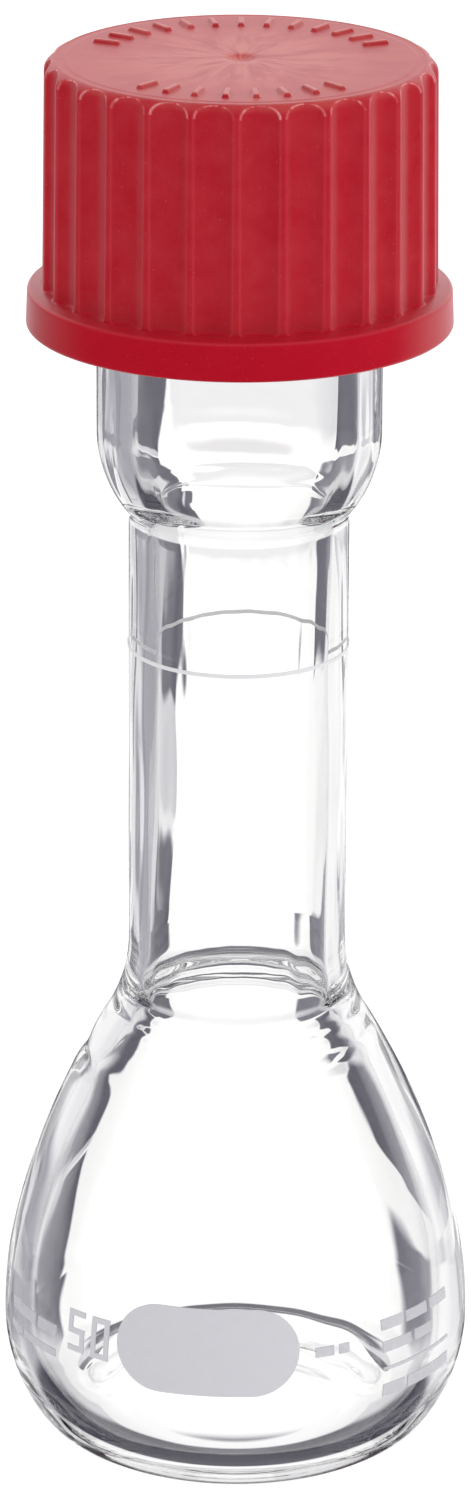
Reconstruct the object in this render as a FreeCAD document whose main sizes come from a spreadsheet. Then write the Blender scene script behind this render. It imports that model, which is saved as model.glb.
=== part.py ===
"""Heavy-walled 50 ml volumetric flask with a wide screw-thread mouth, its red screw cap and the cap's seal.

Lengths are in mm. +Z is up the flask's axis, the origin is the centre of the foot's resting plane, and -Y is
the front, the side that carries the write-on spot. Each sub-part is a PartDesign body that is bound to the
spreadsheet "Sizes".
"""

import FreeCAD, Part

import math
import os

import Sketcher
from FreeCAD import Placement, Rotation, Vector

# Driving dimensions, in mm, degrees and turns: the cells of the spreadsheet.
SIZES = {
    # outside of the glass, from the foot up
    "outer_base": 0.0,
    "outer_foot": 14.5,  # radius where the flat foot meets the heel
    "outer_flank": 16.75,  # arc radius between the heel and the belly
    "outer_belly": 23.2,
    "outer_low": 42.64,  # arc radii of the bulb above the belly, up to and above the split
    "outer_high": 79.45,
    "outer_split": 23.2,
    "outer_throat": 15.83,  # arc radius of the hollow between bulb and neck
    "outer_neck": 10.73,
    "outer_bowl": 12.5,  # arc radius of the rounded step under the collar
    "outer_collar": 13.8,
    # inside of the glass
    "inner_base": 3.2,
    "inner_foot": 14.3,
    "inner_flank": 13.3,
    "inner_belly": 20.745,
    "inner_low": 40.0,
    "inner_high": 76.8,
    "inner_split": 22.6,
    "inner_throat": 18.0,
    "inner_neck": 8.58,
    "inner_bowl": 10.0,
    "inner_collar": 11.35,
    # levels that the outside and the inside share
    "belly_height": 12.5,
    "bowl_height": 104.5,
    # foot, finish and glass thread
    "punt_radius": 11.2,  # inner edge of the resting ring
    "punt_height": 0.9,
    "finish_height": 117.4,
    "finish_radius": 14.3,  # root of the glass thread
    "rim_height": 135.9,
    "rim_round": 1.1,
    "neck_round": 1.2,
    "pitch": 4.0,
    "glass_thread_start": 122.5,
    "glass_thread_turns": 2.25,
    "glass_thread_height": 1.5,
    "glass_thread_round": 1.31,
    # cap, in its own frame with its rim at height 0
    "cap_bottom": 115.0,
    "cap_height": 26.0,
    "cap_radius": 18.75,
    "cap_draft": 0.25,  # how much wider the fluted skirt is at the flange than at its top
    "cap_shoulder": 1.4,
    "flange_radius": 20.5,
    "flange_slope": 0.25,
    "flange_height": 4.0,
    "flange_round": 0.4,
    "cap_bore": 16.15,
    "cap_ceiling": 24.0,
    "entry_chamfer": 0.6,
    "flute_count": 27,
    "flute_radius": 2.7,
    "flute_depth": 0.8,
    "flute_turn": -1.1,
    "gate_radius": 1.6,
    "gate_depth": 0.3,
    "cap_thread_start": 5.71,
    "cap_thread_turns": 1.5,
    "cap_thread_tip": 15.0,  # smallest radius of the cap's thread
    "cap_thread_root_half": 0.95,
    "cap_thread_tip_half": 0.5,
    "tick_radius": 14.0,
    "tick_length": 2.6,
    "tick_width": 0.6,
    "tick_height": 0.35,
    "tick_step": 11.0,
    "front_ticks": 8,
    "back_ticks": 13,
    # seal
    "seal_gap": 0.02,
    "seal_radius": 15.25,
    "seal_thickness": 2.75,
    "seal_chamfer": 0.3,
    "facing_thickness": 0.3,
    # fired enamel
    "enamel_depth": 0.05,  # how far a mark is fused into the glass
    "enamel_proud": 0.09,  # how far it stands out of the glass
    "ring_height": 82.8,
    "ring_width": 0.36,
    "mark_floor": 8.6,  # lowest and highest level that a mark on the bulb reaches
    "mark_ceiling": 22.4,
    "spot_level": 17.2,
    "spot_length": 18.0,
    "spot_width": 8.8,
    "spot_turn": -7.2,
    "stroke": 0.55,
    "digit_level": 16.9,
    "digit_height": 4.2,
    "digit_width": 2.1,
    "digit_gap": 0.9,
    "digits_turn": -39.0,
    "row_step": 2.3,
    "maker_level": 14.8,
    "maker_length": 9.5,
    "maker_turn": -61.0,
    "thread_level": 16.8,
    "thread_length": 4.2,
    "thread_turn": 24.5,
    "batch_level": 14.6,
    "batch_length": 11.0,
    "batch_turn": 52.0,
}

AXES, ORIGIN = -1, 1  # the sketch's own origin, as Sketcher names it
START, END, CENTRE = 1, 2, 3  # the points of a curve, as Sketcher names them
TINY = 0.2  # how far a feature reaches into the solid it joins

doc = FreeCAD.newDocument("volumetric_flask")
sheet = doc.addObject("Spreadsheet::Sheet", "Sizes")
for row, (alias, value) in enumerate(SIZES.items(), start=1):
    sheet.set(f"A{row}", alias)
    sheet.set(f"B{row}", str(value))
    sheet.setAlias(f"B{row}", alias)
doc.recompute()


def cell(alias):
    """The plain number that the spreadsheet holds under this alias."""
    return float(getattr(sheet, alias))


def new_body(label, height=None, turn=None):
    """A body whose frame is raised to one cell's height or turned about Z by another's angle."""
    body = doc.addObject("PartDesign::Body", label)
    body.Label = label
    body.Placement = Placement(Vector(0, 0, 0), Rotation(Vector(0, 0, 1), 1))
    body.setExpression("Placement.Base.z", height or "0")
    body.setExpression("Placement.Rotation.Angle", turn or "0")
    return body


def new_sketch(body, name, role="XZ_Plane", lift=None):
    """A sketch on one of the body's own planes. On XZ, x is the radius and y the height."""
    plane = next(f for f in body.Origin.OriginFeatures if f.Role == role)
    sketch = body.newObject("Sketcher::SketchObject", name)
    sketch.AttachmentSupport = [(plane, "")]
    sketch.MapMode = "FlatFace"
    if lift:
        sketch.setExpression("AttachmentOffset.Base.z", lift)
    return sketch


def add_feature(body, kind, name, sketch, **settings):
    """A PartDesign feature made from a sketch. Expressions are strings, other settings plain values."""
    feature = body.newObject(f"PartDesign::{kind}", name)
    feature.Profile = sketch
    for key, setting in settings.items():
        if isinstance(setting, str) and setting.startswith("="):
            feature.setExpression(key, setting[1:])
        else:
            setattr(feature, key, setting)
    return feature


def spin(body, kind, name, sketch, **settings):
    return add_feature(body, kind, name, sketch, ReferenceAxis=(sketch, ["V_Axis"]), **settings)


def dress(body, kind, name, rings, **settings):
    """A Fillet or Chamfer on the tip's round edges of the given radius and height."""
    doc.recompute()
    tip = body.Tip
    edges = []
    for number, edge in enumerate(tip.Shape.Edges, start=1):
        if edge.Degenerated or not isinstance(edge.Curve, Part.Circle):
            continue
        for radius, height in rings:
            if abs(edge.Curve.Radius - radius) < 0.02 and abs(edge.Curve.Center.z - height) < 0.02:
                edges.append(f"Edge{number}")
    if len(edges) != len(rings):
        raise RuntimeError(f"{name}: {len(edges)} edges found for {len(rings)} rings")
    feature = body.newObject(f"PartDesign::{kind}", name)
    feature.Base = (tip, edges)
    for key, formula in settings.items():
        feature.setExpression(key, formula)
    return feature


def pattern_round(body, name, original, count, sweep=None):
    """Repeats a feature about Z, over the full turn or over a sweep with one at each end."""
    pattern = body.newObject("PartDesign::PolarPattern", name)
    pattern.Originals = [original]
    pattern.Axis = (original.Profile[0], ["N_Axis"])
    pattern.setExpression("Occurrences", count)
    if sweep:
        pattern.setExpression("Angle", sweep)
    else:
        pattern.Angle = 360
    body.Tip = pattern
    return pattern


class Outline:
    """A closed chain of lines and arcs in a sketch: each starts where the last one ended."""

    def __init__(self, sketch, x, y):
        self.sketch = sketch
        self.pen = Vector(x, y, 0)
        self.chain = []

    def line_to(self, x, y, smooth=False):
        end = Vector(x, y, 0)
        geometry = self.sketch.addGeometry(Part.LineSegment(self.pen, end))
        self.chain.append((geometry, START, END, smooth))
        self.pen = end
        return geometry, END

    def arc_to(self, x, y, centre_x, centre_y, smooth=True):
        """The shorter arc about the centre, smooth with the piece before it unless told otherwise."""
        end, centre = Vector(x, y, 0), Vector(centre_x, centre_y, 0)
        begin_angle, end_angle = (math.atan2(p.y - centre.y, p.x - centre.x) for p in (self.pen, end))
        forward = (end_angle - begin_angle) % math.tau < math.pi
        low, high = (begin_angle, end_angle) if forward else (end_angle, begin_angle)
        circle = Part.Circle(centre, Vector(0, 0, 1), (self.pen - centre).Length)
        geometry = self.sketch.addGeometry(Part.ArcOfCircle(circle, low, high))
        first, last = (START, END) if forward else (END, START)
        self.chain.append((geometry, first, last, smooth))
        self.pen = end
        return geometry, last

    def close(self):
        for here, there in zip(self.chain, self.chain[1:] + self.chain[:1]):
            kind = "Tangent" if there[3] else "Coincident"
            self.sketch.addConstraint(Sketcher.Constraint(kind, here[0], here[2], there[0], there[1]))


def add_named(sketch, constraint, name, formula):
    index = sketch.addConstraint(constraint)
    sketch.renameConstraint(index, name)
    sketch.setExpression(f"Constraints.{name}", formula)


def bind_point(sketch, place, name, x=None, y=None):
    """Dimensions from the sketch's origin to a point, whose values are formulas of the cells."""
    geometry, point = place
    here = sketch.getPoint(geometry, point)
    for kind, now, formula in (("DistanceX", here.x, x), ("DistanceY", here.y, y)):
        if formula is not None:
            constraint = Sketcher.Constraint(kind, AXES, ORIGIN, geometry, point, now)
            add_named(sketch, constraint, f"{name}_{kind[-1].lower()}", formula)


def bind_radius(sketch, geometry, name, formula):
    constraint = Sketcher.Constraint("Radius", geometry, sketch.Geometry[geometry].Radius)
    add_named(sketch, constraint, name, formula)


def polygon(sketch, name, corners):
    """A closed outline of straight sides through corners given as pairs of formulas."""
    places = [(sketch.evalExpression(x), sketch.evalExpression(y)) for x, y in corners]
    outline = Outline(sketch, *places[-1])
    ends = [outline.line_to(*place) for place in places]
    outline.close()
    for number, (end, (x, y)) in enumerate(zip(ends, corners)):
        bind_point(sketch, end, f"{name}{number}", x, y)


def bar(sketch, name, x, y, length, height):
    """A rectangle about its middle."""
    left, right = f"{x} - ({length})/2", f"{x} + ({length})/2"
    low, high = f"{y} - ({height})/2", f"{y} + ({height})/2"
    polygon(sketch, name, [(left, low), (right, low), (right, high), (left, high)])


# ---------------------------------------------------------------- glass


def vessel_wall(sketch, side, top):
    """Half of the vessel's outside or inside: base, heel, belly, two shoulder arcs, throat, neck and bowl.

    The heel follows from the flank arc, and the throat from the neck: both are tangent to their neighbours.
    """
    names = "base foot flank belly low high split throat neck bowl collar".split()
    base, foot, flank, belly, low, high, split, throat, neck, bowl, collar = (
        cell(f"{side}_{name}") for name in names
    )
    middle, bowl_height = cell("belly_height"), cell("bowl_height")

    rise, reach = middle - base, belly - foot
    heel = (2 * reach * flank - reach**2 - rise**2) / (2 * (flank - rise))
    heel_centre = Vector(foot, base + heel, 0)
    flank_centre = Vector(belly - flank, middle, 0)
    heel_end = heel_centre + (heel_centre - flank_centre).normalize() * heel

    lean = math.asin((split - middle) / low)
    low_end = Vector(belly - low + low * math.cos(lean), split, 0)
    high_centre = low_end - Vector(math.cos(lean), math.sin(lean), 0) * high
    lean = math.acos((high * math.cos(lean) + throat - low_end.x + neck) / (high + throat))
    outward = Vector(math.cos(lean), math.sin(lean), 0)
    high_end = high_centre + outward * high
    throat_centre = high_end + outward * throat
    bowl_start = bowl_height - math.sqrt(bowl**2 - (neck - collar + bowl) ** 2)

    outline = Outline(sketch, 0, base)
    foot_place = outline.line_to(foot, base)
    outline.arc_to(heel_end.x, heel_end.y, *heel_centre[:2])
    flank_arc, flank_end = outline.arc_to(belly, middle, *flank_centre[:2])
    low_place = outline.arc_to(low_end.x, low_end.y, belly - low, middle)
    high_arc, _ = outline.arc_to(high_end.x, high_end.y, *high_centre[:2])
    throat_place = outline.arc_to(neck, throat_centre.y, *throat_centre[:2])
    neck_place = outline.line_to(neck, bowl_start, smooth=True)
    bowl_place = outline.arc_to(collar, bowl_height, collar - bowl, bowl_height, smooth=False)
    ends = []
    for number, (x, y) in enumerate(top):
        place = (sketch.evalExpression(x), sketch.evalExpression(y))
        ends.append(outline.line_to(*place, smooth=number == 0))
    outline.line_to(0, base)
    outline.close()

    size = f"Sizes.{side}_"
    bind_point(sketch, foot_place, "foot", size + "foot", size + "base")
    bind_point(sketch, (foot_place[0], START), "base", "0", size + "base")
    bind_radius(sketch, flank_arc, "flank", size + "flank")
    bind_point(sketch, (flank_arc, flank_end), "belly", size + "belly", "Sizes.belly_height")
    bind_point(sketch, (low_place[0], CENTRE), "low_centre", y="Sizes.belly_height")
    bind_radius(sketch, low_place[0], "low", size + "low")
    bind_point(sketch, low_place, "split", y=size + "split")
    bind_radius(sketch, high_arc, "high", size + "high")
    bind_radius(sketch, throat_place[0], "throat", size + "throat")
    bind_point(sketch, throat_place, "neck", size + "neck")
    bind_point(sketch, neck_place, "neck_top", size + "neck")
    bind_radius(sketch, bowl_place[0], "bowl", size + "bowl")
    bind_point(sketch, bowl_place, "collar", size + "collar", "Sizes.bowl_height")
    for number, (end, (x, y)) in enumerate(zip(ends, top)):
        bind_point(sketch, end, f"top{number}", x, y)
    return bowl_start


def make_flask_body():
    """The blown glass: one vessel with a heavy wall, a pushed-up foot, a rounded rim and a screw thread."""
    body = new_body("flask_body")
    outside = new_sketch(body, "glass_outside")
    outer_bowl_start = vessel_wall(
        outside,
        "outer",
        [
            ("Sizes.outer_collar", "Sizes.finish_height"),
            ("Sizes.finish_radius", "Sizes.finish_height + Sizes.finish_radius - Sizes.outer_collar"),
            ("Sizes.finish_radius", "Sizes.rim_height"),
            ("0", "Sizes.rim_height"),
        ],
    )
    spin(body, "Revolution", "glass", outside, Angle=360)

    inside = new_sketch(body, "glass_inside")
    inner_bowl_start = vessel_wall(
        inside,
        "inner",
        [
            ("Sizes.inner_collar", "Sizes.rim_height + Sizes.rim_round"),
            ("0", "Sizes.rim_height + Sizes.rim_round"),
        ],
    )
    spin(body, "Groove", "hollow", inside, Angle=360)

    underside = new_sketch(body, "punt_section")
    punt_radius, punt_height = cell("punt_radius"), cell("punt_height")
    drop = (punt_radius**2 - punt_height**2) / (2 * punt_height)
    outline = Outline(underside, 0, 0)
    edge = outline.line_to(punt_radius, 0)
    crown = outline.arc_to(0, punt_height, 0, -drop, smooth=False)
    outline.line_to(0, 0)
    outline.close()
    bind_point(underside, (edge[0], START), "middle", "0", "0")
    bind_point(underside, edge, "edge", "Sizes.punt_radius", "0")
    bind_point(underside, crown, "crown", "0", "Sizes.punt_height")
    bind_point(underside, (crown[0], CENTRE), "crown_centre", "0")
    spin(body, "Groove", "punt", underside, Angle=360)

    rim = cell("rim_height")
    rings = [(cell("finish_radius"), rim), (cell("inner_collar"), rim)]
    dress(body, "Fillet", "rounded_rim", rings, Radius="Sizes.rim_round")
    rings = [(cell("outer_neck"), outer_bowl_start), (cell("inner_neck"), inner_bowl_start)]
    dress(body, "Fillet", "rounded_neck", rings, Radius="Sizes.neck_round")

    section = new_sketch(body, "glass_thread_section")
    middle = cell("glass_thread_start")
    radius = cell("glass_thread_round")
    centre = cell("finish_radius") + cell("glass_thread_height") - radius
    root = cell("finish_radius") - TINY
    half = math.acos((root - centre) / radius)
    circle = Part.Circle(Vector(centre, middle, 0), Vector(0, 0, 1), radius)
    knuckle = section.addGeometry(Part.ArcOfCircle(circle, -half, half))
    low, high = (section.getPoint(knuckle, point) for point in (START, END))
    back = section.addGeometry(Part.LineSegment(high, low))
    section.addConstraint(Sketcher.Constraint("Coincident", knuckle, END, back, START))
    section.addConstraint(Sketcher.Constraint("Coincident", back, END, knuckle, START))
    section.addConstraint(Sketcher.Constraint("Vertical", back))
    bind_radius(section, knuckle, "knuckle", "Sizes.glass_thread_round")
    bind_point(
        section,
        (knuckle, CENTRE),
        "knuckle_centre",
        "Sizes.finish_radius + Sizes.glass_thread_height - Sizes.glass_thread_round",
        "Sizes.glass_thread_start",
    )
    bind_point(section, (back, START), "thread_root", f"Sizes.finish_radius - {TINY}")
    spin(
        body,
        "AdditiveHelix",
        "glass_thread",
        section,
        Mode="pitch-turns-angle",
        Pitch="=Sizes.pitch",
        Turns="=Sizes.glass_thread_turns",
    )
    return body


# ---------------------------------------------------------------- enamel


def make_graduation_ring():
    """The fired line round the neck that marks the capacity."""
    body = new_body("graduation_ring", height="Sizes.ring_height")
    section = new_sketch(body, "ring_section")
    thickness = "(Sizes.enamel_depth + Sizes.enamel_proud)"
    middle = "Sizes.outer_neck + (Sizes.enamel_proud - Sizes.enamel_depth)/2"
    bar(section, "line", middle, "0", thickness, "Sizes.ring_width")
    spin(body, "Revolution", "ring", section, Angle=360)
    return body


def enamel_shell(sketch):
    """A thin section that follows the bulb's flank and shoulder, part in the glass and part proud of it."""
    belly, middle = cell("outer_belly"), cell("belly_height")
    floor, ceiling = cell("mark_floor"), cell("mark_ceiling")
    radii = {"flank": cell("outer_flank"), "low": cell("outer_low")}
    skins = {"in": -cell("enamel_depth"), "out": cell("enamel_proud")}
    formulas = {"in": "- Sizes.enamel_depth", "out": "+ Sizes.enamel_proud"}
    levels = {floor: "Sizes.mark_floor", middle: "Sizes.belly_height", ceiling: "Sizes.mark_ceiling"}

    def radius_at(arc, skin, level):
        reach = math.sqrt((radii[arc] + skins[skin]) ** 2 - (level - middle) ** 2)
        return belly - radii[arc] + reach

    outline = Outline(sketch, radius_at("flank", "in", floor), floor)

    def follow(arc, skin, level):
        place = outline.arc_to(
            radius_at(arc, skin, level), level, belly - radii[arc], middle, smooth=False
        )
        arcs.append((arc, skin, level, place))

    arcs = []
    follow("flank", "in", middle)
    follow("low", "in", ceiling)
    top = outline.line_to(radius_at("low", "out", ceiling), ceiling)
    follow("low", "out", middle)
    follow("flank", "out", floor)
    bottom = outline.line_to(radius_at("flank", "in", floor), floor)
    outline.close()

    bind_point(sketch, top, "top", y="Sizes.mark_ceiling")
    bind_point(sketch, bottom, "bottom", y="Sizes.mark_floor")
    for arc, skin, level, place in arcs:
        name = f"{arc}_{skin}"
        bind_radius(sketch, place[0], name, f"Sizes.outer_{arc} {formulas[skin]}")
        bind_point(sketch, (place[0], CENTRE), f"{name}_centre", y="Sizes.belly_height")
        at_belly = f"Sizes.outer_belly {formulas[skin]}" if level == middle else None
        bind_point(sketch, place, f"{name}_end", at_belly, levels[level])


def make_mark(label, turn, draw):
    """A mark fired onto the bulb: the thin shell, less all that lies outside the drawn islands."""
    body = new_body(label, turn=f"{turn} - 90")
    section = new_sketch(body, f"{label}_section")
    enamel_shell(section)
    spin(body, "Revolution", f"{label}_shell", section, Angle=60, Midplane=True)
    screen = new_sketch(body, f"{label}_screen", "YZ_Plane")
    bar(screen, "frame", "0", "Sizes.belly_height", "2*Sizes.outer_belly", "2*Sizes.outer_belly")
    draw(screen)
    add_feature(body, "Pocket", f"{label}_cut", screen, Type="ThroughAll", Reversed=True)
    return body


def draw_spot(sketch):
    """A bar with half-round ends."""
    reach = "(Sizes.spot_length - Sizes.spot_width)/2"
    half, radius = sketch.evalExpression(reach), cell("spot_width") / 2
    level = cell("spot_level")
    caps = []
    for side in (1, -1):
        circle = Part.Circle(Vector(side * half, level, 0), Vector(0, 0, 1), radius)
        start = -side * math.pi / 2
        caps.append(sketch.addGeometry(Part.ArcOfCircle(circle, start, start + math.pi)))
    for here, there in (caps, caps[::-1]):
        ends = sketch.getPoint(here, END), sketch.getPoint(there, START)
        side = sketch.addGeometry(Part.LineSegment(*ends))
        sketch.addConstraint(Sketcher.Constraint("Tangent", here, END, side, START))
        sketch.addConstraint(Sketcher.Constraint("Tangent", side, END, there, START))
    for arc, name, sign in zip(caps, ("right", "left"), ("", "-")):
        bind_radius(sketch, arc, name, "Sizes.spot_width/2")
        bind_point(sketch, (arc, CENTRE), f"{name}_centre", sign + reach, "Sizes.spot_level")


def draw_digits(sketch):
    """The number 50 in square strokes, for the capacity."""
    wide, tall, stroke = "Sizes.digit_width", "Sizes.digit_height", "Sizes.stroke"
    base = f"Sizes.digit_level - {tall}/2"
    start = f"-{wide} - Sizes.digit_gap/2"
    left, right = start, f"{start} + {wide}"
    inner_left, inner_right = f"{start} + {stroke}", f"{start} + {wide} - {stroke}"
    waist_low, waist_high = f"{base} + {tall}/2 - {stroke}/2", f"{base} + {tall}/2 + {stroke}/2"
    top, under_top, over_base = f"{base} + {tall}", f"{base} + {tall} - {stroke}", f"{base} + {stroke}"
    five = [(left, base), (right, base), (right, waist_high), (inner_left, waist_high)]
    five += [(inner_left, under_top), (right, under_top), (right, top), (left, top)]
    five += [(left, waist_low), (inner_right, waist_low), (inner_right, over_base), (left, over_base)]
    polygon(sketch, "five", five)
    middle = f"({wide} + Sizes.digit_gap)/2"
    bar(sketch, "ring", middle, "Sizes.digit_level", wide, tall)
    bar(sketch, "hole", middle, "Sizes.digit_level", f"{wide} - 2*{stroke}", f"{tall} - 2*{stroke}")


def make_bars(place, rows):
    """Rows of plain bars, top row first.

    A row is its thickness in strokes and its bars' shares of the row's length.
    """
    level, span = f"Sizes.{place}_level", f"Sizes.{place}_length"

    def draw(sketch):
        for row, (strokes, shares) in enumerate(rows):
            height = f"{level} + Sizes.row_step*{(len(rows) - 1) / 2 - row}"
            spent = 0
            for number, share in enumerate(shares):
                middle = f"{span}*{spent + share / 2 - 0.5:.3f}"
                length = f"{span}*{share:.3f} - Sizes.stroke"
                bar(sketch, f"row{row}_{number}_", middle, height, length, f"Sizes.stroke*{strokes}")
                spent += share

    return make_mark(f"{place}_bars", f"Sizes.{place}_turn", draw)


# ---------------------------------------------------------------- cap and seal


def make_screw_cap():
    """The moulded cap: flange, fluted skirt with rounded shoulder, inner thread and raised ticks on top."""
    body = new_body("screw_cap", height="Sizes.cap_bottom")
    section = new_sketch(body, "cap_section")
    corners = [
        ("Sizes.cap_bore + Sizes.entry_chamfer", "0"),
        ("Sizes.flange_radius", "0"),
        ("Sizes.flange_radius - Sizes.flange_slope/2", "Sizes.flange_height - Sizes.flange_slope"),
        ("Sizes.cap_radius + Sizes.cap_draft", "Sizes.flange_height"),
        ("Sizes.cap_radius", "Sizes.cap_height"),
        ("0", "Sizes.cap_height"),
        ("0", "Sizes.cap_ceiling"),
        ("Sizes.cap_bore", "Sizes.cap_ceiling"),
        ("Sizes.cap_bore", "Sizes.entry_chamfer"),
    ]
    polygon(section, "corner", corners)
    spin(body, "Revolution", "shell", section, Angle=360)
    flange_top = cell("flange_height") - cell("flange_slope")
    flange_top_radius = cell("flange_radius") - cell("flange_slope") / 2
    rings = [(cell("flange_radius"), 0), (flange_top_radius, flange_top)]
    dress(body, "Fillet", "rounded_flange", rings, Radius="Sizes.flange_round")
    rings = [(cell("cap_radius"), cell("cap_height"))]
    dress(body, "Fillet", "rounded_shoulder", rings, Radius="Sizes.cap_shoulder")

    flute_plan = new_sketch(body, "flute_plan", "XY_Plane", lift="Sizes.flange_height")
    reach = "(Sizes.cap_radius + Sizes.cap_draft - Sizes.flute_depth + Sizes.flute_radius)"
    angle = "(180/Sizes.flute_count + Sizes.flute_turn)"
    x, y = f"{reach}*sin({angle})", f"-{reach}*cos({angle})"
    middle = Vector(flute_plan.evalExpression(x), flute_plan.evalExpression(y), 0)
    circle = Part.Circle(middle, Vector(0, 0, 1), cell("flute_radius"))
    edge = flute_plan.addGeometry(circle)
    bind_radius(flute_plan, edge, "flute", "Sizes.flute_radius")
    bind_point(flute_plan, (edge, CENTRE), "flute_centre", x, y)
    # the flutes lean inward with the skirt, so they keep their depth
    taper = "=atan(Sizes.cap_draft/(Sizes.cap_height - Sizes.flange_height))"
    flute = add_feature(
        body,
        "Pocket",
        "flute",
        flute_plan,
        Type="Length",
        Length="=Sizes.cap_height",
        Reversed=True,
        TaperAngle=taper,
    )
    pattern_round(body, "flutes", flute, "Sizes.flute_count")

    gate = new_sketch(body, "gate_section")
    radius, depth, top = cell("gate_radius"), cell("gate_depth"), cell("cap_height")
    rise = (radius**2 - depth**2) / (2 * depth)
    outline = Outline(gate, 0, top - depth)
    dish = outline.arc_to(radius, top, 0, top + rise, smooth=False)
    lid = outline.line_to(0, top)
    outline.line_to(0, top - depth)
    outline.close()
    bind_point(gate, dish, "dish_edge", "Sizes.gate_radius", "Sizes.cap_height")
    bind_point(gate, (dish[0], CENTRE), "dish_centre", "0")
    bind_point(gate, lid, "lid", "0", "Sizes.cap_height")
    bind_point(gate, (dish[0], START), "dish_low", "0", "Sizes.cap_height - Sizes.gate_depth")
    spin(body, "Groove", "gate_dimple", gate, Angle=360)

    for place, facing in (("front", -90), ("back", 90)):
        ticks = f"Sizes.{place}_ticks"
        sweep = f"Sizes.tick_step*({ticks} - 1)"
        plan = new_sketch(body, f"{place}_tick_plan", "XY_Plane", lift="Sizes.cap_height")
        plan.setExpression("AttachmentOffset.Rotation.Angle", f"{facing} - {sweep}/2")
        bar(plan, "tick", "Sizes.tick_radius", "0", "Sizes.tick_length", "Sizes.tick_width")
        tick = add_feature(body, "Pad", f"{place}_tick", plan, Length="=Sizes.tick_height")
        pattern_round(body, f"{place}_tick_row", tick, ticks, sweep)

    rib = new_sketch(body, "cap_thread_section")
    low, high = "Sizes.cap_thread_start - ", "Sizes.cap_thread_start + "
    root, tip = f"Sizes.cap_bore + {TINY}", "Sizes.cap_thread_tip"
    corners = [(root, low + "Sizes.cap_thread_root_half"), (root, high + "Sizes.cap_thread_root_half")]
    corners += [(tip, high + "Sizes.cap_thread_tip_half"), (tip, low + "Sizes.cap_thread_tip_half")]
    polygon(rib, "rib", corners)
    spin(
        body,
        "AdditiveHelix",
        "cap_thread",
        rib,
        Mode="pitch-turns-angle",
        Pitch="=Sizes.pitch",
        Turns="=Sizes.cap_thread_turns",
    )
    return body


def make_disc(label, height, thickness):
    """A flat disc of the seal's radius, with its bottom at the given height."""
    body = new_body(label, height=height)
    plan = new_sketch(body, f"{label}_plan", "XY_Plane")
    edge = plan.addGeometry(Part.Circle(Vector(0, 0, 0), Vector(0, 0, 1), cell("seal_radius")))
    bind_radius(plan, edge, "edge", "Sizes.seal_radius")
    bind_point(plan, (edge, CENTRE), "middle", "0", "0")
    add_feature(body, "Pad", label + "_pad", plan, Length="=" + thickness)
    return body


def make_sealing_disc():
    """The soft silicone disc under the cap's ceiling."""
    bottom = "Sizes.rim_height + Sizes.seal_gap + Sizes.facing_thickness"
    body = make_disc("sealing_disc", bottom, "Sizes.seal_thickness")
    rings = [(cell("seal_radius"), cell("seal_thickness"))]
    dress(body, "Chamfer", "seal_edge", rings, Size="Sizes.seal_chamfer")
    return body


def make_ptfe_facing():
    """The hard, slippery film on the disc's underside, which meets the glass rim."""
    return make_disc("ptfe_facing", "Sizes.rim_height + Sizes.seal_gap", "Sizes.facing_thickness")


SUBPARTS = [
    make_flask_body(),
    make_graduation_ring(),
    make_mark("marking_spot", "Sizes.spot_turn", draw_spot),
    make_mark("capacity_mark", "Sizes.digits_turn", draw_digits),
    make_bars("maker", [(2.2, (0.62, 0.38)), (1.4, (0.34, 0.66))]),
    make_bars("thread", [(1.8, (0.6, 0.4))]),
    make_bars("batch", [(2.0, (0.3, 0.35, 0.35)), (2.0, (0.4, 0.3)), (0.6, (1.0,)), (2.4, (0.3, 0.7))]),
    make_screw_cap(),
    make_sealing_disc(),
    make_ptfe_facing(),
]

doc.recompute()
for item in doc.Objects:
    if {"Invalid", "Error"} & set(item.State):
        raise RuntimeError(f"{item.Name} is {item.State}")
for body in SUBPARTS:
    if body.Shape.isNull() or not body.Shape.isValid() or not body.Shape.Solids:
        raise RuntimeError(f"{body.Label} has no valid solid")

os.makedirs("parts", exist_ok=True)
for body in SUBPARTS:
    body.Shape.exportStep(f"parts/{body.Label}.step")
    box = body.Shape.BoundBox
    print(f"{body.Label}: {len(body.Shape.Solids)} solids, {body.Shape.Volume:.2f} mm3,")
    print(f"    z {box.ZMin:.2f} to {box.ZMax:.2f}, radius {max(box.XMax, -box.XMin):.2f}")
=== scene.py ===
import math

import bpy
import numpy as np
from mathutils import Euler, Matrix, Vector


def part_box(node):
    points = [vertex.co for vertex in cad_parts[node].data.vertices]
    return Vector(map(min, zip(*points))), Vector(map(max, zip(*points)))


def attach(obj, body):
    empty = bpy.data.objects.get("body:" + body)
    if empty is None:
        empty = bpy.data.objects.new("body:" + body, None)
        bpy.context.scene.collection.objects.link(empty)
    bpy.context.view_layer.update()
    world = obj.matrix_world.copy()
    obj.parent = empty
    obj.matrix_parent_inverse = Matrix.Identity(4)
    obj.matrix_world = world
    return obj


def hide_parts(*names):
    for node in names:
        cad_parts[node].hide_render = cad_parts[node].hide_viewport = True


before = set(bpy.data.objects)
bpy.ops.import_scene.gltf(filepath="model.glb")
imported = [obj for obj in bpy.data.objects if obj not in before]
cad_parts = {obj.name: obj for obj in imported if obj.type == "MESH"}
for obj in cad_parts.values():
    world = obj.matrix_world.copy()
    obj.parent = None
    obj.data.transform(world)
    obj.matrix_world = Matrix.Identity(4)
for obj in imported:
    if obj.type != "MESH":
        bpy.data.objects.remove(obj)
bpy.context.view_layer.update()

MM = 0.001
TURN = 2 * math.pi

# ------------------------------------------------------------------ sizes, in mm

GLASS_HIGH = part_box("flask_body")[1] / MM
CAP_LOW, CAP_HIGH = (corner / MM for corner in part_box("screw_cap"))

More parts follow.
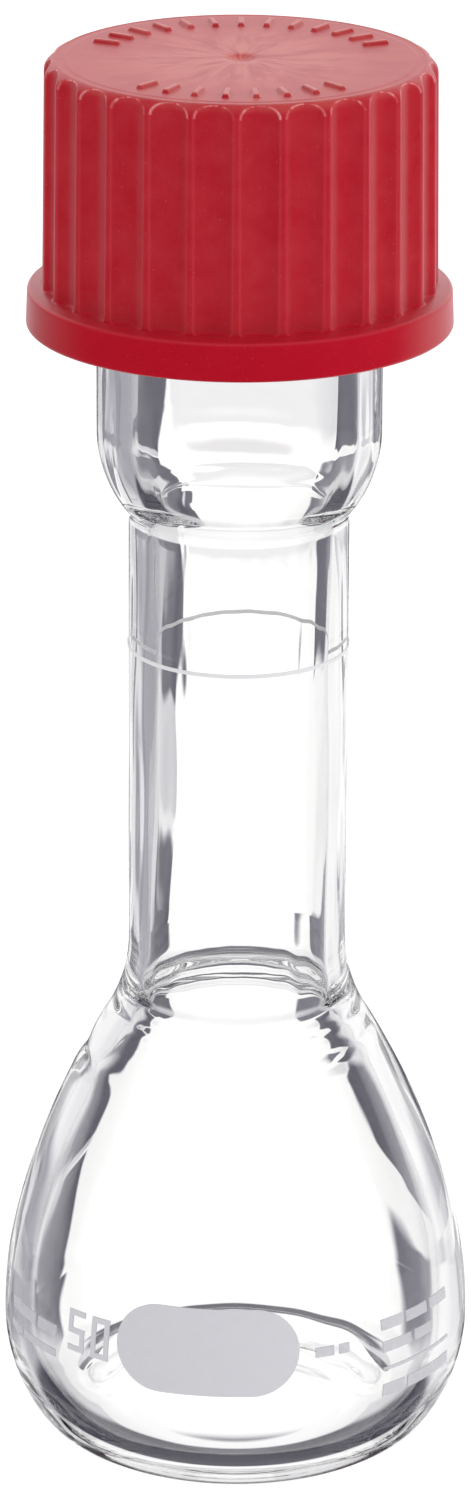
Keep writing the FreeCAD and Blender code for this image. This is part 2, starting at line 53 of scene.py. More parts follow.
# the vessel's profile: heights, and the radii of the arcs from its foot up to its collar
BELLY_HEIGHT = 12.5
BOWL_HEIGHT = 104.5
OUTER = dict(
    base=0.0, foot=14.5, flank=16.75, belly=GLASS_HIGH.x, low=42.64, high=79.45, split=23.2,
    throat=15.83, neck=10.73, bowl=12.5, collar=13.8, corner=2.2,
)
INNER = dict(
    base=3.2, foot=14.3, flank=13.3, belly=20.745, low=40.0, high=76.8, split=22.6,
    throat=18.0, neck=8.58, bowl=10.0, collar=11.35, corner=3.0,
)
PUNT_RADIUS = 11.2
PUNT_HEIGHT = 0.9
FINISH_START = 117.4
FINISH_FULL = FINISH_START + 0.6
FINISH_RADIUS = 14.3
RIM = GLASS_HIGH.z
RIM_ROUND = 1.1
RIM_EDGE = RIM - RIM_ROUND

# marks of making: heights of the fused seams and the dent, and how far the bulb's uneven floor goes
SHOULDER_WELD = 46.0
LOWER_WELD = 43.8
FRONT_SEAM = 41.4
COLLAR_WELD = 96.6
DENT_HEIGHT = 40.3
BULB_FLOOR_TOP = 4.5
BULB_FLOOR_EDGE = 18

# a thread begins at height start on the x axis, and half is half of its width
PITCH = 4.0
GLASS_THREAD = dict(start=122.5, turns=2.25, half=1.45)
GLASS_THREAD_DEPTH = 1.5
CAP_THREAD = dict(start=CAP_LOW.z + 5.71, turns=1.5, half=1.15)
CAP_THREAD_DEPTH = 1.1
CAP_THREAD_TOP = CAP_LOW.z + 14

TICK_RADIUS = 14.0
TICK_LENGTH = 2.6
TICK_WIDTH = 0.6
TICK_HEIGHT = 0.35
TICK_STEP = math.radians(11)
TICK_ROWS = ((8, -90), (13, 90))  # how many, and the middle's direction in degrees
TICK_BAND = (12.2, 15.8)
GATE_RADIUS = 1.6
GATE_DEPTH = 0.3

CAP_TOP = CAP_HIGH.z - TICK_HEIGHT
CAP_RADIUS = 18.75
CAP_DRAFT = 0.25
CAP_SHOULDER = 1.4
CAP_CREST = CAP_RADIUS - CAP_SHOULDER
CAP_FOOT = CAP_RADIUS + CAP_DRAFT
CAP_BORE = 16.15
CAP_CHAMFER = 0.6
CAP_CEILING = CAP_LOW.z + 24.0
LEDGE = CAP_LOW.z + 4.0
LEDGE_RADIUS = 20.375
LEDGE_FALL = 0.2
RIM_RADIUS = 20.5
FLANGE_ROUND = 0.4
FLUTES = 27
FLUTE_RADIUS = 2.7
FLUTE_DEPTH = 0.8
FLUTE_FILLET = 0.45
FLUTE_TURN = math.radians(180 / FLUTES - 1.1 - 90)  # a rib stands 1.1 degrees to the left of the front

GLASS_SEGMENTS = 256
CAP_SEGMENTS = FLUTES * 32


# ------------------------------------------------------------------ meshes


def arc(centre, radius, start, end, step):
    """Points on an arc from start to end angle, both ends included, spaced by step."""
    count = max(3, int(abs(end - start) * radius / step))
    angles = np.linspace(start, end, count + 1)
    return [(centre[0] + radius * math.cos(a), centre[1] + radius * math.sin(a)) for a in angles]


def line(start, end, step):
    count = max(1, int(math.dist(start, end) / step))
    return [tuple(np.add(start, np.subtract(end, start) * t)) for t in np.linspace(0, 1, count + 1)]


def joined(*stretches):
    """One list of points, without the point that two neighbouring stretches share."""
    points = []
    for stretch in stretches:
        points += [p for p in stretch if not points or math.dist(p, points[-1]) > 1e-6]
    return points


def wall(base, foot, flank, belly, low, high, split, throat, neck, bowl, collar, corner):
    """The vessel's outside or inside as (radius, height), from the edge of its flat base up to the collar."""
    lift, reach = BELLY_HEIGHT - base, belly - foot
    heel = (2 * reach * flank - reach**2 - lift**2) / (2 * (flank - lift))
    heel_centre, flank_centre = (foot, base + heel), (belly - flank, BELLY_HEIGHT)
    turn = math.atan2(heel_centre[1] - flank_centre[1], heel_centre[0] - flank_centre[0])
    lean_low = math.asin((split - BELLY_HEIGHT) / low)
    low_centre = (belly - low, BELLY_HEIGHT)
    high_centre = (low_centre[0] + (low - high) * math.cos(lean_low), split - high * math.sin(lean_low))
    low_end = low_centre[0] + low * math.cos(lean_low)
    lean_high = math.acos((high * math.cos(lean_low) + throat - low_end + neck) / (high + throat))
    throat_centre = (
        high_centre[0] + (high + throat) * math.cos(lean_high),
        high_centre[1] + (high + throat) * math.sin(lean_high),
    )
    # a small arc rounds the corner between neck and bowl
    bowl_centre = (collar - bowl, BOWL_HEIGHT)
    corner_x = neck + corner
    corner_z = BOWL_HEIGHT - math.sqrt((bowl + corner) ** 2 - (corner_x - bowl_centre[0]) ** 2)
    toward = math.atan2(corner_z - BOWL_HEIGHT, corner_x - bowl_centre[0])
    return joined(
        arc(heel_centre, heel, -math.pi / 2, turn, 0.25),
        arc(flank_centre, flank, turn, 0, 0.4),
        arc(low_centre, low, 0, lean_low, 0.5),
        arc(high_centre, high, lean_low, lean_high, 0.6),
        arc(throat_centre, throat, math.pi + lean_high, math.pi, 0.35),
        line((neck, throat_centre[1]), (neck, corner_z), 0.8),
        arc((corner_x, corner_z), corner, math.pi, toward + math.pi, 0.1),
        arc(bowl_centre, bowl, toward, 0, 0.3),
    )


def smooth(value):
    """0 to 1 with soft ends, for values from 0 to 1."""
    t = np.clip(value, 0, 1)
    return t * t * (3 - 2 * t)


def bell(value, middle, width):
    """1 at the middle, and next to nothing from two widths away."""
    return np.exp(-(((value - middle) / width) ** 2))


def thread_height(angle, z, start, turns, half, fade=0.18):
    """How high the thread stands at an angle and height: 0 to 1, fading out at both ends."""
    wound = (z - start) / PITCH - angle / TURN
    nearest = np.round(wound)
    along = nearest + angle / TURN
    off = (wound - nearest) * PITCH / half
    shape = np.where(np.abs(off) < 1, 0.5 + 0.5 * np.cos(math.pi * off), 0)
    return shape * smooth(np.minimum(along, turns - along) / fade + 0.5)


def ripples(angle, z, seed, waves=6):
    """Slow unevenness of blown glass, about -1 to 1, smooth round the axis and along it."""
    rng = np.random.default_rng(seed)
    total = 0
    for _ in range(waves):
        around = rng.integers(1, 5)
        along = rng.uniform(0.02, 0.16)
        phase, phase_z = rng.uniform(0, TURN, 2)
        total = total + np.cos(around * angle + phase) * np.cos(along * z * TURN / 2 + phase_z)
    return total / waves * 2


def striae(angle, z, seed, waves=7):
    """The fine drawing lines of a glass tube, in mm: they run along it and drift slowly round it."""
    rng = np.random.default_rng(seed)
    total = 0
    for _ in range(waves):
        around = rng.integers(7, 34)
        phase = rng.uniform(0, TURN)
        drift = rng.uniform(-0.012, 0.012)
        total = total + 0.1 / around * np.cos(around * (angle + drift * z) + phase)
    return total


def weld_seams(angle, z):
    """How far the bore is drawn in where bulb, neck and collar were fused and opened out, in mm."""
    behind = 0.1 + 0.9 * smooth((np.sin(angle) + 0.2) / 0.8)
    ridges = 1.25 * bell(z, SHOULDER_WELD, 0.85) + 0.65 * bell(z, LOWER_WELD, 0.6)
    # a shallow seam runs across the front of the bulb, deepest on the right
    depth = 0.03 + 0.14 * smooth(np.cos(angle + 0.8))
    front = depth * bell(z - FRONT_SEAM, 0.2 * np.cos(3 * angle), 0.6) * smooth(0.4 - np.sin(angle))
    upper = 0.1 * bell(z - COLLAR_WELD, 0.3 * np.cos(2 * angle + 1), 0.8)
    # slow rings, at the front and back only, where the collar was opened out
    rings = 0.035 * np.cos(2 * z + 0.7 * np.cos(angle)) * smooth((z - 95) / 3) * smooth((109 - z) / 6)
    rings = rings * smooth(4 * np.abs(np.sin(angle)) - 3)
    return behind * ridges + front + upper + rings


def unevenness(angle, radius, height):
    """How far the glass's inner wall and outer wall lie outside their smooth profiles, in mm."""
    in_bulb = smooth((50 - height) / 12)
    # waves and drawing lines fade out on the axis, at the foot and in the finish
    away = np.clip(radius / 8, 0, 1) * smooth((height - 3) / 8) * smooth((125 - height) / 10)
    waves = ripples(angle, height, 3)
    inner = (0.02 + 0.03 * in_bulb) * waves * away
    # the lines are nearly melted out round the weld
    calm = 1 - 0.85 * bell(height, 43, 6)
    inner = inner + striae(angle, height, 5) * away * calm * (1 - 0.4 * in_bulb)
    inner = inner - weld_seams(angle, height)
    # the drawn tube is thinner towards the bulb
    inner = inner + 0.4 * np.clip((97 - height) / 50, 0, 1) * smooth((height - 45) / 4)
    outer = -0.012 * (1 + np.clip(waves, -1, 1)) * away
    # a dent on the left of the bulb's shoulder
    outer = outer - 0.25 * smooth(-4 * np.cos(angle) - 3) * bell(height, DENT_HEIGHT, 1.2)
    return inner, outer


def bore_shift(height):
    """How far the bore lies to the right of the axis, in mm: the left wall is the thicker one."""
    shift = 0.28 + 0.08 * smooth((102 - height) / 10)
    return shift * np.clip((height - 47) / 48, 0, 1) * smooth((130 - height) / 20)


def floor_relief(angle, radius):
    """How far the bulb's floor stands up, in mm: a low crown, and two beads along the back of its edge."""
    crown = 0.5 * smooth(1 - radius / 13.5)
    bead = 2.1 * bell(radius, 14.9, 1.7) + 0.25 * bell(radius, 11.8, 0.5)
    return crown + bead * smooth((np.sin(angle) + 0.2) / 0.9)


def lathe(name, rings, segments, shape):
    """A closed surface from rings of (radius, height), in mm.

    Shape turns grids of angle, radius and height into x, y and z. The first and last rings lie on the axis
    and become single points.
    """
    angles = np.arange(segments) * TURN / segments
    radius = np.array([r for r, _ in rings])[:, None]
    height = np.array([z for _, z in rings])[:, None]
    x, y, z = shape(angles[None, :], radius, height)
    body = np.stack([x, y, z], -1)[1:-1]
    tips = [(x[i, 0], y[i, 0], z[i, 0]) for i in (0, -1)]
    points = np.concatenate([body.reshape(-1, 3), tips]) * MM
    rows = len(rings) - 2
    index = np.arange(rows * segments).reshape(rows, segments)
    after = np.roll(index, -1, axis=1)
    quads = np.stack([index[:-1], after[:-1], after[1:], index[1:]], -1).reshape(-1, 4)
    first, last = rows * segments, rows * segments + 1
    faces = quads.tolist()
    faces += [(first, after[0, i], index[0, i]) for i in range(segments)]
    faces += [(last, index[-1, i], after[-1, i]) for i in range(segments)]
    mesh = bpy.data.meshes.new(name)
    mesh.from_pydata(points.tolist(), [], faces)
    mesh.polygons.foreach_set("use_smooth", [True] * len(mesh.polygons))
    mesh.update()
    thing = bpy.data.objects.new(name, mesh)
    bpy.context.scene.collection.objects.link(thing)
    return thing


def build_glass():
    """The blown glass as one closed surface: foot, outside, thread, rim, bore, bulb and floor."""
    punt_drop = (PUNT_RADIUS**2 - PUNT_HEIGHT**2) / (2 * PUNT_HEIGHT)
    punt_angle = math.atan2(punt_drop, PUNT_RADIUS)
    outside = joined(
        arc((0, -punt_drop), punt_drop + PUNT_HEIGHT, math.pi / 2, punt_angle, 0.5),
        line((PUNT_RADIUS, 0), (OUTER["foot"], 0), 0.5),
        wall(**OUTER),
        line((OUTER["collar"], BOWL_HEIGHT), (OUTER["collar"], FINISH_START), 0.8),
        line((OUTER["collar"], FINISH_START), (FINISH_RADIUS, FINISH_FULL), 0.2),
        line((FINISH_RADIUS, FINISH_FULL), (FINISH_RADIUS, RIM_EDGE), 0.16),
        arc((FINISH_RADIUS - RIM_ROUND, RIM_EDGE), RIM_ROUND, 0, math.pi / 2, 0.1),
    )
    inside = joined(
        [(0, INNER["base"]), (0.5, INNER["base"])],
        line((0.5, INNER["base"]), (INNER["foot"], INNER["base"]), 0.7),
        wall(**INNER),
        line((INNER["collar"], BOWL_HEIGHT), (INNER["collar"], RIM_EDGE), 0.8),
        arc((INNER["collar"] + RIM_ROUND, RIM_EDGE), RIM_ROUND, math.pi, math.pi / 2, 0.1),
    )
    rings = outside + inside[::-1]
    is_inside = np.array([False] * len(outside) + [True] * len(inside))[:, None]

    def shape(angle, radius, height):
        threaded = (~is_inside) & (height > FINISH_FULL)
        thread = GLASS_THREAD_DEPTH * thread_height(angle, height, **GLASS_THREAD) * threaded
        inner, outer = unevenness(angle, radius, height)
        r = radius + thread + np.where(is_inside, inner, outer)
        floor = is_inside & (height < BULB_FLOOR_TOP) & (radius < BULB_FLOOR_EDGE)
        z = height + np.where(floor, floor_relief(angle, radius), 0)
        return r * np.cos(angle) + is_inside * bore_shift(height), r * np.sin(angle), z

    glass = lathe("flask_glass", rings, GLASS_SEGMENTS, shape)
    glass.data.materials.append(glass_material())
    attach(glass, "flask")
    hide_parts("flask_body")


def soft_min(a, b, blend):
    """The smaller of two lengths, with the crossing rounded over about the blend length."""
    low = np.minimum(a, b)
    return low - blend * np.log(np.exp((low - a) / blend) + np.exp((low - b) / blend))


def skirt_radius(height):
    """Radius of the skirt's crests, which lean out towards the flange."""
    return CAP_RADIUS + CAP_DRAFT * (CAP_TOP - height) / (CAP_TOP - LEDGE)


def flute_wall(angle, height):
    """Distance from the axis to the flutes' leaning cylinders; far outside the skirt between two flutes."""
    step = TURN / FLUTES
    off = (angle - FLUTE_TURN + step / 2) % step - step / 2
    above_ledge = np.clip(height - LEDGE, 0, None)
    radius = FLUTE_RADIUS + CAP_DRAFT * above_ledge / (CAP_TOP - LEDGE)
    centre = CAP_RADIUS + CAP_DRAFT - FLUTE_DEPTH + FLUTE_RADIUS
    across = centre * np.sin(off)
    wall_radius = centre * np.cos(off) - np.sqrt(np.clip(radius**2 - across**2, 0, None))
    # a small hollow fillet where each flute runs out on the flange
    low = np.clip(FLUTE_FILLET - above_ledge, 0, FLUTE_FILLET)
    wall_radius = wall_radius + FLUTE_FILLET - np.sqrt(FLUTE_FILLET**2 - low**2)
    return np.where(np.abs(across) < radius, wall_radius, 2 * CAP_RADIUS)


def tick_shape(angle, radius):
    """1 on the raised ticks of the cap's top and 0 beside them, with short sloping sides."""
    total = 0
    for count, facing in TICK_ROWS:
        middle = (angle - math.radians(facing) + math.pi) % TURN - math.pi
        odd = 0 if count % 2 else TICK_STEP / 2
        index = np.clip(np.round((middle - odd) / TICK_STEP), -(count // 2), (count - 1) // 2)
        across = np.abs(radius * np.sin(middle - odd - index * TICK_STEP))
        along = np.abs(radius - TICK_RADIUS)
        sides = smooth((TICK_WIDTH / 2 - across) / 0.14 + 0.35)
        total = total + sides * smooth((TICK_LENGTH / 2 - along) / 0.14 + 0.35)
    return np.clip(total, 0, 1)


def mark_edges(cap, rings, is_outside):
    """Two values at each point for the cap's material: where highlights are painted along the edges, and the
    mould's flash at the top.
    """
    angles = np.arange(CAP_SEGMENTS) * TURN / CAP_SEGMENTS
    radius = np.array([r for r, _ in rings])[1:-1, None]
    height = np.array([z for _, z in rings])[1:-1, None]
    is_outside = is_outside[1:-1]
    skin = np.where(height < CAP_TOP - CAP_SHOULDER, skirt_radius(height), radius)
    crossing = np.abs(skin - flute_wall(angles[None, :], height))
    side = (radius > CAP_CREST - 0.2) & (height > LEDGE + 0.02) & is_outside
    # painted highlights along the flutes' edges on the skirt and round the flange's rounded edge
    flange = bell(np.hypot(radius - 20.25, height - LEDGE + 0.33), 0, 0.16) + 0 * angles
    edge = bell(crossing, 0, 0.1) * side + flange * is_outside
    nick = np.random.default_rng(11).uniform(0, 1, (1, CAP_SEGMENTS // 2)).repeat(2, axis=1)
    flash = bell(crossing, 0, 0.09) * side * (height > CAP_TOP - 1.3) * nick**1.5
    for name, value in (("edge", edge), ("flash", flash)):
        data = np.concatenate([value.ravel(), [0, 0]])
        cap.data.attributes.new(name, "FLOAT", "POINT").data.foreach_set("value", data)


def build_cap():
    """The moulded cap: top with gate and ticks, rounded shoulder, fluted skirt, flange, bore and thread."""
    shoulder = CAP_TOP - CAP_SHOULDER
    ledge_edge = LEDGE - LEDGE_FALL
    ledge_inside = LEDGE_RADIUS - FLANGE_ROUND
    rim_inside = RIM_RADIUS - FLANGE_ROUND
    rim_side = CAP_LOW.z + FLANGE_ROUND
    outside = joined(
        line((0, CAP_TOP), (GATE_RADIUS, CAP_TOP), 0.16),
        line((GATE_RADIUS, CAP_TOP), (TICK_BAND[0], CAP_TOP), 0.9),
        line((TICK_BAND[0], CAP_TOP), (TICK_BAND[1], CAP_TOP), 0.09),
        line((TICK_BAND[1], CAP_TOP), (CAP_CREST, CAP_TOP), 0.12),
        arc((CAP_CREST, shoulder), CAP_SHOULDER, math.pi / 2, 0, 0.07),
        line((CAP_RADIUS, shoulder), (CAP_RADIUS, CAP_TOP - 3), 0.12),
        line((CAP_RADIUS, CAP_TOP - 3), (CAP_FOOT, LEDGE + 0.6), 0.6),
        line((CAP_FOOT, LEDGE + 0.6), (CAP_FOOT, LEDGE), 0.05),
        line((CAP_FOOT, LEDGE), (ledge_inside, ledge_edge), 0.12),
        arc((ledge_inside, ledge_edge - FLANGE_ROUND), FLANGE_ROUND, math.pi / 2, 0, 0.07),
        line((LEDGE_RADIUS, ledge_edge - FLANGE_ROUND), (RIM_RADIUS, rim_side), 0.4),
        arc((rim_inside, rim_side), FLANGE_ROUND, 0, -math.pi / 2, 0.1),
    )
    inside = joined(
        line((rim_inside, CAP_LOW.z), (CAP_BORE + CAP_CHAMFER, CAP_LOW.z), 0.8),
        line((CAP_BORE + CAP_CHAMFER, CAP_LOW.z), (CAP_BORE, CAP_LOW.z + CAP_CHAMFER), 0.2),
        line((CAP_BORE, CAP_LOW.z + CAP_CHAMFER), (CAP_BORE, CAP_THREAD_TOP), 0.22),
        line((CAP_BORE, CAP_THREAD_TOP), (CAP_BORE, CAP_CEILING), 1.5),
        line((CAP_BORE, CAP_CEILING), (0, CAP_CEILING), 1.5),
    )
    rings = outside + inside[1:]
    is_outside = (np.arange(len(rings)) < len(outside))[:, None]

    def shape(angle, radius, height):
        skirt = is_outside & (height > LEDGE - 0.01) & (radius > CAP_CREST - 0.5)
        leaning = skirt & (height < shoulder) & (radius <= CAP_FOOT)
        body = np.where(leaning, skirt_radius(height), radius)
        cut = soft_min(body + 0 * angle, flute_wall(angle, height), 0.09)
        r = np.where(skirt, cut, radius + 0 * angle)
        threaded = ~is_outside & (height < CAP_THREAD_TOP)
        r = r - CAP_THREAD_DEPTH * thread_height(angle, height, **CAP_THREAD) * threaded
        on_top = is_outside & (height > CAP_TOP - 0.01)
        dish = GATE_DEPTH * np.clip(1 - (radius / GATE_RADIUS) ** 2, 0, 1)
        edge_line = 0.05 * smooth((radius - 16.75) / 0.15)
        z = height + np.where(on_top, TICK_HEIGHT * tick_shape(angle, radius) - dish - edge_line, 0)
        return r * np.cos(angle), r * np.sin(angle), z

    cap = lathe("cap_shell", rings, CAP_SEGMENTS, shape)
    mark_edges(cap, rings, is_outside)
    cap.data.materials.append(cap_material())
    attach(cap, "cap")
    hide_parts("screw_cap")


# ------------------------------------------------------------------ materials

GLASS_IOR = 1.473
PRINT_GREY = (0.5, 0.496, 0.525)
RING_GREY = (0.45, 0.45, 0.46)


def new_material(name):
    """A material with an empty tree."""
    material = bpy.data.materials.new(name)
    material.use_nodes = True
    tree = material.node_tree
    tree.nodes.clear()
    return material, tree


def put(tree, socket, value):
    """Link another node's output to an input, or set the input's own value."""
    if isinstance(value, bpy.types.NodeSocket):
        tree.links.new(value, socket)
    else:
        socket.default_value = value


def node(tree, kind, **settings):
    """A node. Settings are its inputs by name, with _ for a space, or the node's own properties."""
    made = tree.nodes.new("ShaderNode" + kind)
    for key, value in settings.items():
        label = key.replace("_", " ")
        if label in made.inputs:
            put(tree, made.inputs[label], value)
        elif key in made.inputs:
            put(tree, made.inputs[key], value)
        else:
            setattr(made, key, value)
    return made


def maths(tree, operation, *values):
    """The output of a math node."""
    made = tree.nodes.new("ShaderNodeMath")
    made.operation = operation
    for socket, value in zip(made.inputs, values):
        put(tree, socket, value)
    return made.outputs[0]


def times(tree, first, second):
    return maths(tree, "MULTIPLY", first, second)


def plus(tree, first, second):
    return maths(tree, "ADD", first, second)


def rise(tree, value, low, high):
    """0 below low and 1 above high, with a smooth step between; falling if low is above high."""
    made = node(tree, "MapRange", interpolation_type="SMOOTHSTEP", Value=value, From_Min=low, From_Max=high)
    return made.outputs[0]


def mix(tree, factor, first, second, kind="RGBA"):
    """Blend of two colours, or with kind FLOAT of two numbers."""
    made = tree.nodes.new("ShaderNodeMix")
    made.data_type = kind
    a, b, result = {"RGBA": (6, 7, 2), "FLOAT": (2, 3, 0)}[kind]
    put(tree, made.inputs[0], factor)
    put(tree, made.inputs[a], first)
    put(tree, made.inputs[b], second)
    return made.outputs[result]


def mix_shaders(tree, factor, first, second):
    made = node(tree, "MixShader", Fac=factor)
    tree.links.new(first.outputs[0], made.inputs[1])
    tree.links.new(second.outputs[0], made.inputs[2])
    return made


def millimetres(tree):
    """The point on the piece, in mm and in the piece's own frame."""
    place = node(tree, "TexCoord").outputs["Object"]
    scaled = node(tree, "VectorMath", operation="SCALE", Vector=place, Scale=1 / MM)
    return scaled.outputs[0]


def noise(tree, place, scale, detail=2.0, roughness=0.5):
    made = node(tree, "TexNoise", Vector=place, Scale=scale, Detail=detail, Roughness=roughness)
    return made.outputs[0]


def glass_material():
    """Clear borosilicate glass."""
    material, tree = new_material("borosilicate")
    glass = node(tree, "BsdfGlass", Color=(1, 1, 1, 1), Roughness=0.0, IOR=GLASS_IOR)
    node(tree, "OutputMaterial", Surface=glass.outputs[0])
    return material


def flow_marks(tree, x, y, radius):
    """Streaks that run outwards from the gate, as noise that varies quickly round the axis only."""
    angle = maths(tree, "ARCTAN2", y, x)
    polar = node(
        tree, "CombineXYZ",
        X=times(tree, maths(tree, "COSINE", angle), 3.0),
        Y=times(tree, maths(tree, "SINE", angle), 3.0),
        Z=times(tree, radius, 0.12),
    )
    return noise(tree, polar.outputs[0], 1.6, 4.0, 0.6)


def cap_material():
    """Satin red moulding: flow marks from the gate, fine dust, a painted sheen on the top and painted
    highlights on the edges.
    """
    material, tree = new_material("cap_red")
    place = millimetres(tree)
    parts = node(tree, "SeparateXYZ", Vector=place)
    x, y, z = (parts.outputs[axis] for axis in "XYZ")
    radius = maths(tree, "SQRT", plus(tree, times(tree, x, x), times(tree, y, y)))
    flow = flow_marks(tree, x, y, radius)
    cloud = noise(tree, place, 0.35, 3.0, 0.55)
    grain = noise(tree, place, 9.0, 2.0, 0.6)
    dust = rise(tree, noise(tree, place, 7.0, 2.0, 0.6), 0.7, 0.74)
    edge, flash = (node(tree, "Attribute", attribute_name=name).outputs["Fac"] for name in ("edge", "flash"))
    facing = node(tree, "LayerWeight", Blend=0.5).outputs["Facing"]
    on_top = rise(tree, z, CAP_TOP - 1.0, CAP_TOP - 0.2)
    tick_tops = rise(tree, z, CAP_TOP + 0.2, CAP_TOP + 0.33)

    film = times(tree, rise(tree, z, LEDGE - 0.1, LEDGE + 0.5), times(tree, cloud, 0.045))
    # painted sheen: the top is painted paler in streaks along the flow marks, most of all round its middle
    middle = plus(tree, 0.35, times(tree, rise(tree, radius, 16.0, 4.0), 0.65))
    wear_and_top_sheen = times(tree, times(tree, on_top, rise(tree, flow, 0.3, 0.65)), middle)
    base = mix(tree, cloud, (0.345, 0.003, 0.013, 1), (0.4, 0.005, 0.017, 1))
    for amount, colour in (
        (film, (0.75, 0.5, 0.45, 1)),
        (wear_and_top_sheen, (0.5, 0.115, 0.1, 1)),
        (times(tree, tick_tops, 0.6), (0.55, 0.16, 0.15, 1)),
        # painted highlights on the edges
        (times(tree, edge, 0.2), (0.6, 0.08, 0.1, 1)),
        (times(tree, flash, 0.7), (0.8, 0.4, 0.4, 1)),
        (times(tree, dust, 0.25), (0.8, 0.35, 0.36, 1)),
    ):
        base = mix(tree, amount, base, colour)
    rough = plus(tree, 0.34, times(tree, grain, 0.16))
    rough = plus(tree, rough, times(tree, times(tree, on_top, flow), 0.15))
    relief = plus(tree, times(tree, grain, 0.5), times(tree, dust, 0.8))
    bump = node(tree, "Bump", Height=relief, Strength=0.12, Distance=0.02 * MM)
    skin = node(
        tree, "BsdfPrincipled", Base_Color=base, Roughness=rough, IOR=1.5, Normal=bump.outputs[0],
        Specular_IOR_Level=plus(tree, 0.03, rise(tree, facing, 0.3, 0.9)),
    )
    node(tree, "OutputMaterial", Surface=skin.outputs[0])
    return material


def enamel_material(name, shade, glow, gaps=0.0):
    """Fired enamel: a fine matt grain with faint thin patches, and a painted glow.

    Gaps, from 0 to 1, is how much of the glass shows through where the print is rubbed off.
    """
    material, tree = new_material(name)
    place = millimetres(tree)
    patch = noise(tree, place, 0.9, 3.0, 0.6)
    grain = noise(tree, place, 14.0, 2.0, 0.6)
    dark = tuple(0.93 * part for part in shade) + (1,)
    light = tuple(1.04 * part for part in shade) + (1,)
    base = mix(tree, plus(tree, times(tree, patch, 0.5), times(tree, grain, 0.5)), dark, light)
    bump = node(tree, "Bump", Height=grain, Strength=0.25, Distance=0.01 * MM)
    # glow makes the enamel glow: painted light that brightens the print, most of all where the glass shades
    # it
    skin = node(
        tree, "BsdfPrincipled",
        Base_Color=base, Roughness=0.62, Normal=bump.outputs[0], Specular_IOR_Level=0.3,
        Emission_Color=base, Emission_Strength=glow,
    )
    thin = mix_shaders(tree, 0.15, skin, node(tree, "BsdfTranslucent", Color=base))
    wear_and_top_sheen = times(tree, rise(tree, grain, 0.3, 0.6), gaps)
    printed = mix_shaders(tree, wear_and_top_sheen, thin, node(tree, "BsdfTransparent"))
    node(tree, "OutputMaterial", Surface=printed.outputs[0])
    return material


def soft_material(name, low, high, roughness, glow):
    """The liner's two layers: a milky skin with faint moulding clouds and fine grain."""
    material, tree = new_material(name)
    place = millimetres(tree)
    cloud = noise(tree, place, 0.5, 3.0, 0.5)
    grain = noise(tree, place, 11.0, 2.0, 0.5)
    bump = node(tree, "Bump", Height=grain, Strength=0.2, Distance=0.02 * MM)
    rough = plus(tree, roughness, times(tree, grain, 0.12))
    skin = node(
        tree, "BsdfPrincipled",
        Base_Color=mix(tree, cloud, low, high), Roughness=rough, Normal=bump.outputs[0],
        Subsurface_Weight=glow, Subsurface_Radius=(1, 0.9, 0.8), Subsurface_Scale=0.8 * MM,
    )
    node(tree, "OutputMaterial", Surface=skin.outputs[0])
    return material


def dress(material, *names):
    """Give CAD nodes a material instead of their own."""
    for name in names:
        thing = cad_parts[name]
        thing.data.materials.clear()
        thing.data.materials.append(material)


def dress_cad_nodes():
    dress(enamel_material("enamel", PRINT_GREY, 0.3), "marking_spot", "capacity_mark")
    fine_print = enamel_material("fine_print", PRINT_GREY, 0.3, gaps=0.4)
    dress(fine_print, "maker_bars", "thread_bars", "batch_bars")
    # the ring's painted glow is strongest, to brighten its far side, which is seen through the glass
    dress(enamel_material("ring_enamel", RING_GREY, 0.78), "graduation_ring")
    dress(soft_material("silicone", (0.66, 0.64, 0.6, 1), (0.76, 0.74, 0.7, 1), 0.42, 0.4), "sealing_disc")
    dress(soft_material("ptfe", (0.8, 0.79, 0.76, 1), (0.88, 0.87, 0.84, 1), 0.3, 0.2), "ptfe_facing")


# ------------------------------------------------------------------ light, floor and camera

PANEL = 1.15  # brightness of the white panel behind the glass

# walls beside the panel, in layers from low to high: the height from which each one is seen, then its
# brightness from the panel outwards, as (degrees off the view's axis, brightness)
LEFT_WALL = (
    (-90, ((8.7, PANEL), (9.5, 0.12), (18, 0.16), (24, 0.5), (30, 0.45), (48, 0.4))),
    (-2.6, ((9.9, PANEL), (10.7, 0.1), (16, 0.12), (19, 0.8), (25, 0.8), (32, 0.35), (50, 0.3))),
    (-0.35, ((9.9, PANEL), (16, 0.9), (22, 0.85), (30, 0.35), (50, 0.3))),
    (0.1, ((9.9, PANEL), (10.7, 0.65), (16, 0.75), (22, 0.85), (30, 0.4), (50, 0.4))),
    (0.8, ((9.7, PANEL), (10.5, 0.1), (16, 0.13), (19.5, 0.6), (24, 0.6), (28, 0.3), (33, 0.28), (48, 0.7))),
    (1.6, ((9.7, PANEL), (10.5, 0.1), (16, 0.13), (22, 0.24), (33, 0.28), (48, 0.7))),
)
RIGHT_WALL = (
    (-90, ((7.8, PANEL), (9.6, 0.19), (18, 0.26), (24, 0.85), (46, 1.0))),
    (-2.1, ((11, PANEL), (30, 0.9), (38, 0.6), (46, 0.9))),
    (0.3, ((9.0, PANEL), (9.9, 0.12), (19, 0.15), (25, 0.5), (32, 0.8), (46, 1.0))),
)
# further out, both walls run into a dark corner and then the bright room behind the camera
BEYOND = ((60, 0.5), (68, 0.15), (88, 0.08), (103, 1.0))
# what matt and satin surfaces get: a broad, even version of the same room, with its own ceiling
STUDIO_ROUND = (
    (-150, 0.95), (-115, 0.55), (-85, 0.5), (-60, 0.34), (-45, 0.42), (-18, 1.3), (18, 1.3), (45, 0.8),
    (70, 1.1), (85, 2.2), (112, 2.0), (145, 0.95),
)
STUDIO_CEILING = ((34, 1.65), (62, 0.85))

